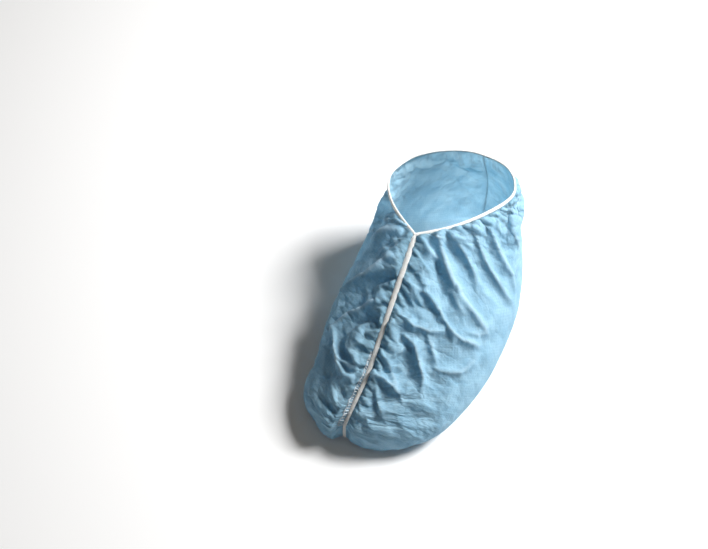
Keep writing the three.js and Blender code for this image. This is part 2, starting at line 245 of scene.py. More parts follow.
# Folds, the right panel's and then the left panel's: the panel's side, the ridge's width and height
# (a crease is below 0), and the photograph's pixels that it runs through.
fold_lines = (
    (1, 3.5, 3.0, (420, 240), (427, 252), (440, 262), (446, 273)),
    (1, 6.0, 5.0, (437, 237), (439, 253), (448, 278), (463, 303), (477, 323), (487, 337)),
    (1, 7.0, -1.8, (430, 246), (434, 262), (440, 282), (450, 302)),
    (1, 8.0, -1.8, (446, 243), (455, 262), (468, 288), (485, 312)),
    (1, 3.5, 3.2, (452, 238), (462, 252), (470, 270), (472, 276), (474, 288)),
    (1, 4.5, 3.5, (472, 236), (483, 262), (493, 280), (502, 295), (514, 315)),
    (1, 7.0, -1.6, (478, 244), (490, 262), (500, 284)),
    (1, 4.5, 3.5, (487, 229), (493, 243), (502, 263), (508, 275), (512, 300)),
    (1, 4.0, 3.0, (508, 228), (512, 240), (517, 262)),
    (1, 3.0, 2.5, (402, 275), (410, 287), (425, 293)),
    (1, 3.5, 4.0, (421, 290), (433, 303), (440, 315), (445, 327), (452, 342)),
    (1, 3.5, 3.0, (403, 317), (412, 327), (427, 330), (445, 330)),
    (1, 4.0, 3.5, (445, 328), (458, 338), (470, 342), (480, 346)),
    (1, 8.0, -1.8, (400, 340), (406, 360), (409, 380), (408, 400)),
    (1, 3.2, 4.0, (404, 336), (413, 344), (417, 361), (420, 377), (417, 396)),
    (1, 3.0, 2.5, (380, 349), (389, 361), (394, 379), (396, 390)),
    (1, 3.0, 2.5, (391, 354), (400, 350), (405, 345)),
    (1, 4.0, 3.0, (369, 373), (380, 377), (391, 384), (399, 394), (402, 406)),
    (1, 3.0, 2.0, (374, 394), (380, 407), (383, 416)),
    (1, 4.0, 3.0, (433, 368), (446, 372), (458, 372), (470, 362), (478, 353)),
    (1, 3.5, 2.5, (425, 335), (432, 350), (436, 366)),
    (1, 3.0, 2.0, (450, 290), (456, 306), (466, 318)),
    (1, 3.0, 2.0, (462, 330), (474, 334), (486, 330)),
    (-1, 7.0, 4.5, (372, 242), (387, 236), (403, 235)),
    (-1, 9.0, -1.8, (360, 264), (385, 248), (404, 243)),
    (-1, 6.0, 4.5, (345, 292), (370, 275), (387, 262), (402, 256)),
    (-1, 9.0, -1.6, (342, 306), (370, 288), (395, 274)),
    (-1, 5.0, 4.5, (332, 333), (347, 318), (372, 305), (388, 296)),
    (-1, 8.0, -1.6, (336, 342), (358, 325), (380, 312)),
    (-1, 3.5, 3.5, (334, 330), (336, 349), (340, 364), (344, 373), (357, 380)),
    (-1, 3.2, 3.0, (349, 345), (356, 359), (360, 368)),
    (-1, 3.0, 2.5, (340, 360), (354, 369), (361, 371)),
    (-1, 5.0, -2.6, (318, 396), (331, 409), (346, 411)),
    (-1, 4.0, -1.8, (320, 419), (343, 421)),
)
FOLD_GAIN, FOLD_LEAN = 1.6, 0.28
FOLD_START, FOLD_PLUMP = 0.15, 0.8
FOLD_NARROW, FOLD_WIDENS = 0.75, 0.6
FOLD_BLUNT, FOLD_FALL = 0.35, 1.6
CREST_SLIM, CREST_GAIN = 0.5, 0.3


def fold_relief(side, points, outward, slim, gain):
    """Height of the folds at each point of a panel; slim folds are only the sharp crests of the ridges."""
    places = points.reshape(-1, 3)
    seen = seen_at(places * MM)
    facing = np.einsum("ij,ij->i", outward.reshape(-1, 3), np.array(camera_place) / MM - places) > 0
    relief = np.zeros(len(places))
    for panel_side, wide, high, *line in fold_lines:
        if panel_side != side or (slim < 1 and high < 0):
            continue
        stops = []
        for at in line:
            miss = np.linalg.norm(seen - at, axis=1) + np.where(facing, 0, 1e6)
            stops.append(places[np.argmin(miss)])
        near = np.full(len(places), 1e9)
        way, hand = np.zeros(len(places)), np.zeros(len(places))
        for k, (a, b) in enumerate(zip(stops, stops[1:])):
            run = b - a
            share = np.clip((places - a) @ run / max(run @ run, 1e-9), 0, 1)
            miss = np.linalg.norm(places - a - share[:, None] * run, axis=1)
            turned = np.einsum("ij,ij->i", np.cross(run, places - a), outward.reshape(-1, 3))
            way = np.where(miss < near, (k + share) / (len(stops) - 1), way)
            hand = np.where(miss < near, np.sign(turned), hand)
            near = np.minimum(near, miss)
        swell = np.sin(math.pi * (FOLD_START + (1 - FOLD_START) * way)) ** FOLD_PLUMP
        spread = slim * wide * (FOLD_NARROW + FOLD_WIDENS * way) * (1 + FOLD_LEAN * hand)
        off = np.hypot(near / spread, FOLD_BLUNT)
        relief += gain * high * swell * np.exp(FOLD_FALL * (FOLD_BLUNT - off))
    return relief.reshape(points.shape[:2])


def pucker_relief(rng, run, down, first, last, pitch, high, reach, slant):
    """Small ridges that start along an edge, at a running length, and fade down the cloth."""
    relief = np.zeros_like(down)
    at = first
    while at < last:
        at += pitch * rng.uniform(0.65, 1.35)
        far = reach * rng.uniform(0.4, 1.0)
        tall = high * rng.uniform(0.5, 1.0)
        lean = slant + rng.normal() * 0.25
        across = (run - at - lean * down) / (pitch * 0.34 * (1 + down / 45))
        relief += tall * np.exp(-(across**2)) * np.exp(-((down / far) ** 2))
    return relief


def gather_relief(rng, run, down, first, last, pitch, high, reach, slant):
    """Plump little gathers along an edge, with a sharp crease between each two."""
    stops = [first]
    while stops[-1] < last:
        stops.append(stops[-1] + pitch * rng.uniform(0.55, 1.45))
    stops = np.array(stops)
    tall = high * rng.uniform(0.35, 1.0, len(stops))
    far = reach * rng.uniform(0.45, 1.0, len(stops))
    at = run - slant * down
    k = np.clip(np.searchsorted(stops, at) - 1, 0, len(stops) - 2)
    across = np.clip(2 * (at - stops[k]) / (stops[k + 1] - stops[k]) - 1, -1, 1)
    return tall[k] * (1 - across**2) * np.exp(-((down / far[k]) ** 2))


def halved(field):
    """A grid of points or values at half its spacing, smoothed as it is split."""
    for axis in (0, 1):
        rough = np.moveaxis(field, axis, 0)
        fine = np.empty((2 * len(rough) - 1, *rough.shape[1:]))
        fine[::2] = rough
        fine[2:-2:2] = (rough[:-2] + 6 * rough[1:-1] + rough[2:]) / 8
        fine[1::2] = (rough[:-1] + rough[1:]) / 2
        field = np.moveaxis(fine, 0, axis)
    return field


def grid_mesh(name, points, side):
    """A panel's mesh on a [column, row] grid of points, and the column and row of each of its vertices."""
    columns, rows = points.shape[0] - 1, points.shape[1] - 1
    bm = bmesh.new()
    bmesh.ops.create_grid(bm, x_segments=columns, y_segments=rows, size=0.5)
    place = np.array([(round((v.co.x + 0.5) * columns), round((v.co.y + 0.5) * rows)) for v in bm.verts])
    for v, (c, r) in zip(bm.verts, place):
        v.co = Vector(points[c, r] * MM)
    if side < 0:
        bmesh.ops.reverse_faces(bm, faces=bm.faces)
    mesh = bpy.data.meshes.new(name)
    bm.to_mesh(mesh)
    bm.free()
    return mesh, place


EDGE_DRAW, EDGE_REACH = 0.30, 45.0
SIDE_DRAW, SIDE_REACH = 0.04, (70, 120)
HOLD = 0.06
FRAMES = 26
MOST_MOVE = 7.0
UNDER_ELASTIC = 2.6
END_TURNS, TAPE_DRAWS, HEEL_TAUT, HEEL_PLAIN = (2, 20), (18, 55), (118, 138), (132, 158)
RIM_EASES_LEFT, RIM_EASES_RIGHT = (101, 108), (148, 164)
GATHER_HIGH = 1.6
RIM_PUFF, RIM_PUFF_DOWN, RIM_PUFF_WIDE = 5.5, 24.0, 15.0
RIM_PUFF_STARTS, RIM_PUFF_ENDS = (122, 140), (146, 162)
# Painted light: the crest height that gets the full painted highlight, and how far down from the elastic the
# gathers get a painted highlight on top and painted shade between.
PAINTED_HIGHLIGHT_FULL_AT, PAINTED_GATHER_SHADING_REACH = 1.2, 14
SOLE_EDGE_AWAY = 1000
drapes = []
for side, name in ((-1, "left_panel"), (1, "right_panel")):
    points, climb, sole, tread = plain_panel(side)
    outward = outward_of(points, side)
    every_row = np.ones((1, ROWS + 1))
    turn = np.array([column_turn(c) for c in range(COLUMNS + 1)])[:, None] * every_row
    down = climb[:, -1:] - climb
    top_run = run_of(points[:, -1])[:, None] * every_row
    sole_run = run_of(points[:, 0])[:, None] * every_row
    ends = smooth(from_end(turn), *END_TURNS)
    free = np.clip((down - UNDER_ELASTIC) / 4, 0, 1) * np.clip((climb - sole - 6) / 20, 0, 1) * ends
    drawn_tape = 0.3 + 0.7 * smooth(turn, *TAPE_DRAWS)
    drawn_rim = 1 - smooth(turn, *(RIM_EASES_LEFT if side < 0 else RIM_EASES_RIGHT))
    least = 0.25 - 0.2 * smooth(turn, *HEEL_PLAIN)
    gathered = np.where(turn < MOUTH_TURN, drawn_tape, least + (1 - least) * drawn_rim)
    rng = np.random.default_rng(7 + side)
    tape_end, rim_end = float(top_run[MOUTH_COLUMN, 0]), float(top_run[-1, 0])
    sole_end = float(sole_run[-1, 0])
    puckers = pucker_relief(rng, top_run, down, first=12, last=tape_end - 6,
                            pitch=7.0, high=3.0, reach=28, slant=-0.5) * gathered
    puckers += pucker_relief(rng, top_run, down, first=tape_end, last=rim_end,
                             pitch=7.5, high=3.4, reach=26, slant=0.2) * gathered
    sole_puckers = pucker_relief(rng, sole_run, climb, first=20, last=sole_end - 20,
                                 pitch=8.0, high=2.4, reach=26, slant=0.1)
    on_sole = (1 - smooth(climb, 0.6 * sole, sole)) * ends * np.clip((climb - TAPE_SEAT) / 4, 0, 1)
    folds = fold_relief(side, points, outward, 1, FOLD_GAIN)
    relief = (folds + puckers + 0.12 * rng.normal(size=climb.shape)) * free
    start = points + outward * (relief - sole_puckers * on_sole)[:, :, None]
    start[:, :, 2] = np.maximum(start[:, :, 2], 0)
    side_draw = SIDE_DRAW * (1 - smooth(down, *SIDE_REACH)) * (1 - 0.7 * smooth(turn, *HEEL_TAUT))
    grow = side_draw + EDGE_DRAW * np.clip(1 - down / EDGE_REACH, 0, 1) ** 1.3 * gathered

    mesh, place = grid_mesh(name + "_drape", start, side)
    drape = bpy.data.objects.new(name + "_drape", mesh)
    scene.collection.objects.link(drape)
    held = drape.vertex_groups.new(name="held")
    slack = drape.vertex_groups.new(name="slack")
    most_grow = SIDE_DRAW + EDGE_DRAW
    for i, (c, r) in enumerate(place):
        held.add([i], 1.0 if free[c, r] <= 0 else HOLD, "REPLACE")
        slack.add([i], float(1 - grow[c, r] / most_grow), "REPLACE")
    cloth = drape.modifiers.new("cloth", "CLOTH")
    limp = cloth.settings
    limp.quality = 6
    limp.mass = 0.05
    limp.tension_stiffness = 20
    limp.compression_stiffness = 20
    limp.shear_stiffness = 8
    limp.bending_stiffness = 0.5
    limp.air_damping = 2
    limp.vertex_group_shrink = "slack"
    limp.shrink_min = -most_grow
    limp.shrink_max = 0
    limp.vertex_group_mass = "held"
    limp.pin_stiffness = 1
    limp.effector_weights.gravity = 0
    cloth.collision_settings.use_collision = False
    cloth.collision_settings.use_self_collision = False

    row_steps = np.linalg.norm(np.diff(points, axis=0), axis=2)
    along = np.concatenate([np.zeros((1, ROWS + 1)), np.cumsum(row_steps, axis=0)])
    along -= along[MOUTH_COLUMN]
    top_run, sole_run, climb, down, along = [halved(f) for f in (top_run, sole_run, climb, down, along)]
    drawn_in = halved(gathered * ends)
    tape_high = GATHER_HIGH * (1.0 if side > 0 else 0.5)
    gathers = gather_relief(rng, top_run, down, first=10, last=tape_end - 3,
                            pitch=5.5, high=tape_high, reach=13, slant=-0.5)
    gathers += gather_relief(rng, top_run, down, first=tape_end, last=rim_end,
                             pitch=4.5, high=GATHER_HIGH, reach=12, slant=0.1)
    gathers *= np.clip((down - UNDER_ELASTIC) / 2, 0, 1)
    big_gathers = gather_relief(rng, top_run, down, first=tape_end + 3, last=rim_end,
                                pitch=10.0, high=GATHER_HIGH * 2.1, reach=38, slant=0.2)
    gathers = drawn_in * (gathers + big_gathers * np.clip((down - UNDER_ELASTIC) / 9, 0, 1))
    fine_points = halved(points)
    fine_outward = outward_of(fine_points, side)
    crests = fold_relief(side, fine_points, fine_outward, CREST_SLIM, CREST_GAIN) * halved(free)
    # Painted light and shade: fold crests are painted lighter. By the elastic, the gather tops are painted
    # lighter and the creases between them darker.
    by_elastic = drawn_in * np.exp(-((down / PAINTED_GATHER_SHADING_REACH) ** 2))
    painted_light_and_shade = np.clip(crests / PAINTED_HIGHLIGHT_FULL_AT, 0, 1) + by_elastic * (gathers / GATHER_HIGH - 0.6)
    gathers += crests
    if side > 0:
        puff = RIM_PUFF * np.exp(-(((down - RIM_PUFF_DOWN) / RIM_PUFF_WIDE) ** 2))
        round_side = halved(smooth(turn, *RIM_PUFF_STARTS) * (1 - smooth(turn, *RIM_PUFF_ENDS)))
        gathers += puff * smooth(down, UNDER_ELASTIC, 14) * round_side
    sole_gathers = gather_relief(rng, sole_run, climb, first=16, last=sole_end - 16,
                                 pitch=6.0, high=GATHER_HIGH, reach=18, slant=0.1)
    gathers -= sole_gathers * halved(ends) * np.clip((climb - 2.7) / 2.5, 0, 1)
    cut_places = np.stack([along, climb], axis=-1)
    edge_run = np.where(down < climb, top_run, sole_run + SOLE_EDGE_AWAY)
    edge_places = np.stack([edge_run, np.minimum(down, climb)], axis=-1)
    sole_share = climb / halved(tread * every_row)
    drapes.append((side, name, drape, place, points, start, gathers,
                   cut_places, edge_places, sole_share, painted_light_and_shade))

for f in range(1, FRAMES + 1):
    scene.frame_set(f)
panels, settled, plain = [], {}, {}
for side, name, drape, place, points, start, gathers, cut_places, edge_places, sole_share, painted_light_and_shade in drapes:
    drawn = drape.evaluated_get(bpy.context.evaluated_depsgraph_get())
    moved = np.array([v.co for v in drawn.to_mesh().vertices]) / MM
    drawn.to_mesh_clear()
    began = start[tuple(place.T)]
    step = moved - began
    far = np.linalg.norm(step, axis=1)
    moved = began + step * np.minimum(1, MOST_MOVE / np.maximum(far, 1e-9))[:, None]
    form = np.zeros_like(points)
    form[tuple(place.T)] = moved
    form = halved(form)
    form += outward_of(form, side) * gathers[:, :, None]
    form[:, :, 2] = np.maximum(form[:, :, 2], 0)
    plain[name], settled[name] = points, form

    mesh, place = grid_mesh(name + "_cloth", form, side)
    corner_verts = np.zeros(len(mesh.loops), dtype=np.int32)
    mesh.loops.foreach_get("vertex_index", corner_verts)
    for uv_name, places in (("cut", cut_places), ("edge", edge_places)):
        uv = mesh.uv_layers.new(name=uv_name)
        uv.data.foreach_set("uv", (places[tuple(place[corner_verts].T)] * MM).astype(np.float32).ravel())
    # The painted light and shade is stored on the mesh as a value for the cloth's finish.
    for value_name, values in (("sole_share", sole_share), ("painted_light_and_shade", painted_light_and_shade)):
        value = mesh.attributes.new(value_name, "FLOAT", "POINT")
        value.data.foreach_set("value", values[tuple(place.T)].astype(np.float32))
    mesh.shade_smooth()
    panel = bpy.data.objects.new(name + "_cloth", mesh)
    scene.collection.objects.link(panel)
    wall = panel.modifiers.new("wall", "SOLIDIFY")
    wall.thickness = CLOTH_THICK * MM
    wall.offset = -1
    wall.material_offset = 1
    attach(panel, "root")
    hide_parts(name)
    panels.append(panel)
for _, _, drape, *_ in drapes:
    bpy.data.objects.remove(drape)


def add(tree, kind, links=(), **settings):
    """A node of a finish, with its settings, and its sockets as (name, value or source) pairs."""
    node = tree.nodes.new(kind)
    for key, value in settings.items():
        setattr(node, key, value)
    for socket, source in links:
        if isinstance(source, bpy.types.NodeSocket):
            tree.links.new(source, node.inputs[socket])
        else:
            node.inputs[socket].default_value = source
    return node


def mixed(tree, share, first, second):
    """Two colours mixed by a share."""
    sockets = [(0, share), (6, first), (7, second)]
    return add(tree, "ShaderNodeMix", sockets, data_type="RGBA").outputs[2]


def worked(tree, way, first, second=0.0, third=0.0):
    """A sum on one to three values."""
    return add(tree, "ShaderNodeMath", [(0, first), (1, second), (2, third)], operation=way).outputs[0]


def ranged(tree, value, low, high, at_low=0.0, at_high=1.0):
    """A value eased from one range to another."""
    return add(tree, "ShaderNodeMapRange", [(0, value), (1, low), (2, high), (3, at_low), (4, at_high)],
               interpolation_type="SMOOTHSTEP").outputs[0]


def noise(tree, place, scale, detail, dimensions="2D"):
    """A noise at a place: its value, then its colour."""
    sockets = [("Vector", place), ("Scale", scale), ("Detail", detail)]
    return add(tree, "ShaderNodeTexNoise", sockets, noise_dimensions=dimensions).outputs


def crease_net(tree, place, scale):
    """Distance from a net of creases that parts the cloth into facets."""
    return add(tree, "ShaderNodeTexVoronoi", [("Vector", place), ("Scale", scale)],
               voronoi_dimensions="2D", feature="DISTANCE_TO_EDGE").outputs["Distance"]


def bumped(tree, height, deep, strength):
    """The surface's direction, roughened by a height."""
    sockets = [("Height", height), ("Distance", deep), ("Strength", strength)]
    return add(tree, "ShaderNodeBump", sockets).outputs[0]


def new_finish(name):
    """An empty material and its nodes."""
    finish = bpy.data.materials.new(name)
    finish.use_nodes = True
    finish.node_tree.nodes.clear()
    return finish, finish.node_tree


def finish_fabric(tree, colour, bump, see_through, surface):
    """A thin fabric's output: its surface, and the share of the light that comes through it."""
    sockets = [("Base Color", colour), ("Normal", bump), *surface]
    lit = add(tree, "ShaderNodeBsdfPrincipled", sockets).outputs[0]
    through = add(tree, "ShaderNodeBsdfTranslucent", [("Color", colour), ("Normal", bump)]).outputs[0]
    both = add(tree, "ShaderNodeMixShader", [(0, see_through), (1, lit), (2, through)]).outputs[0]
    add(tree, "ShaderNodeOutputMaterial", [("Surface", both)])


CLOTH_DEEP = (0.405, 0.634, 0.750, 1)
CLOTH_PALE = (0.522, 0.736, 0.838, 1)
CLOTH_FIBRE = (0.615, 0.790, 0.880, 1)
CLOTH_BOND = (0.335, 0.565, 0.705, 1)
# Painted highlight on the crests of folds and gathers, and painted shade in the creases between the gathers
# by the elastic.
CLOTH_PAINTED_HIGHLIGHT = (0.725, 0.860, 0.930, 1)
CLOTH_PAINTED_SHADE = (0.270, 0.440, 0.520, 1)
PRINT_GREY = (0.660, 0.680, 0.660, 1)
PRINT_STRIP, PRINT_SWING = 0.034, 0.0135
BOND_TURN = (0, 0, math.radians(45))
FIBRE_PULL, PUCKER_PULL = (1.0, 0.25, 1.0), (230.0, 26.0, 1.0)
CREASE_BEND = (0.012, 0.012, 0.0)
SEEN_THROUGH, SEEN_THROUGH_INSIDE = 0.63, 0.42
CRUMPLED_INSIDE = 0.06
cloth_surface = (("Roughness", 0.72), ("Sheen Weight", 0.25), ("Sheen Roughness", 0.45),
                 ("Specular IOR Level", 0.3))


def tread_print(tree, flat_cloth, clouds, fibres):
    """Share of print at a place on the sole: strips with a zigzag down each, thinner where fibres are few."""
    apart = add(tree, "ShaderNodeSeparateXYZ", [(0, flat_cloth)]).outputs
    strip = worked(tree, "WRAP", apart[0], PRINT_STRIP, 0.0)
    zigzag = worked(tree, "MULTIPLY_ADD", worked(tree, "PINGPONG", apart[1], PRINT_SWING), 1.33, 0.008)
    from_zigzag = worked(tree, "ABSOLUTE", worked(tree, "SUBTRACT", strip, zigzag))
    from_strip = worked(tree, "PINGPONG", strip, PRINT_STRIP / 2)
    band = worked(tree, "MINIMUM", ranged(tree, from_zigzag, 0.0022, 0.0032),
                  ranged(tree, from_strip, 0.0010, 0.0017))
    sole = add(tree, "ShaderNodeAttribute", attribute_name="sole_share").outputs["Fac"]
    inked = worked(tree, "MULTIPLY_ADD", clouds, 0.3, worked(tree, "SUBTRACT", sole, 0.15))
    on_sole = worked(tree, "MULTIPLY", ranged(tree, inked, 0.24, 0.30),
                     ranged(tree, sole, 1.36, 1.44, 1.0, 0.0))
    worn = ranged(tree, fibres, 0.2, 0.6, 0.55, 0.95)
    return worked(tree, "MULTIPLY", worked(tree, "MULTIPLY", band, on_sole), worn)


def spunbond(name, outer):
    """The cloth's finish: bonded fibres with a lattice of bond dots, crumpled beside the elastic. Its outer
    side also has a painted highlight on the crests, painted shade in the creases, and the sole's tread print."""
    cloth, tree = new_finish(name)
    flat_cloth = add(tree, "ShaderNodeUVMap", uv_map="cut").outputs[0]
    turned = add(tree, "ShaderNodeMapping", [("Vector", flat_cloth), ("Rotation", BOND_TURN)]).outputs[0]
    lattice = add(tree, "ShaderNodeTexVoronoi", [("Vector", turned), ("Scale", 360.0), ("Randomness", 0.0)],
                  voronoi_dimensions="2D").outputs["Distance"]
    bond = ranged(tree, lattice, 0.16, 0.38, 1.0, 0.0)
    pulled = add(tree, "ShaderNodeMapping", [("Vector", flat_cloth), ("Scale", FIBRE_PULL)]).outputs[0]
    fibres = noise(tree, pulled, 1400.0, 3.0)[0]
    clouds = noise(tree, flat_cloth, 60.0, 4.0)[0]
    colour = mixed(tree, ranged(tree, clouds, 0.3, 0.7), CLOTH_DEEP, CLOTH_PALE)
    colour = mixed(tree, ranged(tree, fibres, 0.45, 0.75, 0.0, 0.5), colour, CLOTH_FIBRE)
    colour = mixed(tree, worked(tree, "MULTIPLY", bond, 0.3), colour, CLOTH_BOND)
    if outer:
        # Painted highlight on the crests and painted shade in the creases between the gathers.
        painted_light_and_shade = add(tree, "ShaderNodeAttribute", attribute_name="painted_light_and_shade").outputs["Fac"]
        colour = mixed(tree, ranged(tree, painted_light_and_shade, 0.05, 0.9, 0.0, 0.6), colour, CLOTH_PAINTED_HIGHLIGHT)
        colour = mixed(tree, ranged(tree, painted_light_and_shade, -0.4, -0.05, 0.7, 0.0), colour, CLOTH_PAINTED_SHADE)
        colour = mixed(tree, tread_print(tree, flat_cloth, clouds, fibres), colour, PRINT_GREY)
    by_edge = add(tree, "ShaderNodeUVMap", uv_map="edge").outputs[0]
    from_edge = add(tree, "ShaderNodeSeparateXYZ", [(0, by_edge)]).outputs[1]
    drawn = add(tree, "ShaderNodeMapping", [("Vector", by_edge), ("Scale", PUCKER_PULL)]).outputs[0]
    near_edge = worked(tree, "MULTIPLY", ranged(tree, from_edge, 0.001, 0.004),
                       ranged(tree, from_edge, 0.006, 0.024, 1.0, 0.0))
    puckers = worked(tree, "MULTIPLY", noise(tree, drawn, 1.0, 1.0)[0], near_edge)
    bend = noise(tree, flat_cloth, 50.0, 2.0)[1]
    bent = add(tree, "ShaderNodeVectorMath", [(0, bend), (1, CREASE_BEND), (2, flat_cloth)],
               operation="MULTIPLY_ADD").outputs[0]
    creases = worked(tree, "MULTIPLY", crease_net(tree, bent, 120.0), 1.4)
    crumple = worked(tree, "MULTIPLY_ADD", crease_net(tree, bent, 48.0), 5.5, creases)
    handled = ranged(tree, from_edge, 0.025, 0.105, 1.0, 0.3) if outer else CRUMPLED_INSIDE
    crumple = worked(tree, "MULTIPLY", crumple, handled)
    grain = worked(tree, "MULTIPLY_ADD", fibres, 0.05, worked(tree, "MULTIPLY", bond, -0.06))
    height = worked(tree, "MULTIPLY_ADD", noise(tree, flat_cloth, 120.0, 3.0)[0], 0.4, grain)
    height = worked(tree, "ADD", height, worked(tree, "MULTIPLY_ADD", puckers, 1.4, crumple))
    see_through = SEEN_THROUGH if outer else SEEN_THROUGH_INSIDE
    finish_fabric(tree, colour, bumped(tree, height, 0.001, 0.8), see_through, cloth_surface)
    return cloth


outer_cloth = spunbond("blue_spunbond_printed", True)
inner_cloth = spunbond("blue_spunbond_plain", False)
for panel in panels:
    panel.data.materials.append(outer_cloth)
    panel.data.materials.append(inner_cloth)


# Seam tape: white knitted elastic, sewn over the seam from the mouth down the instep, round the toe,
# along the sole and up the heel. It is wide at the mouth and drawn narrow at the toe.
TAPE_STEP = 0.8
TAPE_LIFT, TAPE_HIGH = 0.15, 1.0
TAPE_CUT_FRONT, TAPE_CUT_HEEL = 1.7, 2.6
RIPPLE_STEP, RIPPLE_WIDE, RIPPLE_HIGH = 2.6, 0.035, 0.1
SPARE_RUN = 3
tape_widths = ((0, 5.8), (60, 5.5), (150, 4.4), (200, 3.2), (225, 3.0), (300, 4.6),
               (540, 4.0), (575, 2.0), (700, 1.7))
tape_outline = ((-1.0, 0.25), (-0.92, 0.62), (-0.6, 0.9), (-0.2, 1.0), (0.2, 1.0), (0.6, 0.9),
                (0.92, 0.62), (1.0, 0.25), (0.9, 0.0), (0.3, 0.0), (-0.3, 0.0), (-0.9, 0.0))

left_points, right_points = plain["left_panel"], plain["right_panel"]
seam_stops = [(c, ROWS, 0, -1) for c in range(MOUTH_COLUMN, 0, -1)]
seam_stops += [(0, r, 1, 0) for r in range(ROWS, 0, -1)]
seam_stops += [(c, 0, 0, 1) for c in range(0, COLUMNS)]
seam_stops += [(COLUMNS, r, -1, 0) for r in range(0, ROWS + 1)]


def unit(v):
    """Directions of unit length."""
    return v / np.maximum(np.linalg.norm(v, axis=-1, keepdims=True), 1e-9)


def even(path, step, *fields):
    """A path and the values on it at even steps, with each step's running length."""
    run = run_of(path)
    at = np.linspace(0, run[-1], max(round(run[-1] / step), 2) + 1)
    spaced = []
    for field in (path, *fields):
        spaced.append(np.stack([np.interp(at, run, values) for values in field.T], axis=1))
    return at, *spaced


def swept(name, rings, closed):
    """A mesh through rings of points, welded round and, if open, capped at both ends."""
    if not closed:
        first, last = rings[0].mean(axis=0), rings[-1].mean(axis=0)
        rings = np.concatenate([[rings[0] * 0 + first], rings, [rings[-1] * 0 + last]])
    else:
        rings = np.concatenate([rings, rings[:1]])
    rings = np.concatenate([rings, rings[:, :1]], axis=1)
    far, around = rings.shape[0] - 1, rings.shape[1] - 1
    bm = bmesh.new()
    bmesh.ops.create_grid(bm, x_segments=far, y_segments=around, size=0.5)
    bm.verts.index_update()
    place = [(round((v.co.x + 0.5) * far), round((v.co.y + 0.5) * around)) for v in bm.verts]
    strip = bm.loops.layers.uv.new("strip")
    steps = run_of(rings.mean(axis=1))
    for face in bm.faces:
        for corner in face.loops:
            i, j = place[corner.vert.index]
            corner[strip].uv = (steps[i] * MM, j / around)
    for v, (i, j) in zip(bm.verts, place):
        v.co = Vector(rings[i, j] * MM)
    bmesh.ops.remove_doubles(bm, verts=bm.verts, dist=1e-7)
    bmesh.ops.dissolve_degenerate(bm, dist=1e-7, edges=bm.edges)
    bmesh.ops.recalc_face_normals(bm, faces=bm.faces)
    mesh = bpy.data.meshes.new(name)
    bm.to_mesh(mesh)
    bm.free()
    mesh.shade_smooth()
    piece = bpy.data.objects.new(name, mesh)
    scene.collection.objects.link(piece)
    return piece


path = np.array([(left_points[c, r] + right_points[c, r]) / 2 for c, r, _, _ in seam_stops])
to_left = unit(np.array([left_points[c + dc, r + dr] - left_points[c, r] for c, r, dc, dr in seam_stops]))
to_right = unit(np.array([right_points[c + dc, r + dr] - right_points[c, r] for c, r, dc, dr in seam_stops]))
tape_run, path, to_left, to_right = even(path, TAPE_STEP, to_left, to_right)
ahead = unit(np.gradient(path, axis=0))
out = unit(np.cross(ahead, (1, 0, 0)))
to_left = unit(to_left - ahead * np.sum(to_left * ahead, axis=1, keepdims=True))
to_right = unit(to_right - ahead * np.sum(to_right * ahead, axis=1, keepdims=True))
half_wide = np.interp(tape_run, *zip(*tape_widths)) / 2
rng = np.random.default_rng(3)
ripple_at = np.arange(0, tape_run[-1] + SPARE_RUN, RIPPLE_STEP)
ripple = np.interp(tape_run, ripple_at, rng.normal(size=len(ripple_at)))
rings = []
for k in range(len(path)):
    ring = []
    for across, high in tape_outline:
        reach = across * half_wide[k] * (1 + RIPPLE_WIDE * ripple[k])
        toward = to_right[k] if reach > 0 else to_left[k]
        rise = TAPE_LIFT + high * TAPE_HIGH * (1 + RIPPLE_HIGH * ripple[k])
        ring.append(path[k] + toward * abs(reach) + out[k] * rise)
    rings.append(ring)
clear = (tape_run > TAPE_CUT_FRONT) & (tape_run < tape_run[-1] - TAPE_CUT_HEEL)
tape = swept("seam_tape_elastic", np.array(rings)[clear], False)
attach(tape, "root")
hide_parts("seam_tape")

ELASTIC_WHITE = (0.95, 0.945, 0.925, 1)
# The cream colour is the soil on the elastic, and also painted shade in the grooves between its ribs.
ELASTIC_SOIL_AND_SHADE = (0.84, 0.79, 0.70, 1)
RIB_HALF, YARN_HALF = 0.00045, 0.025
HEEL_RUN = (0.54, 0.58)
elastic_surface = (("Roughness", 0.8), ("Sheen Weight", 0.2), ("Specular IOR Level", 0.25))


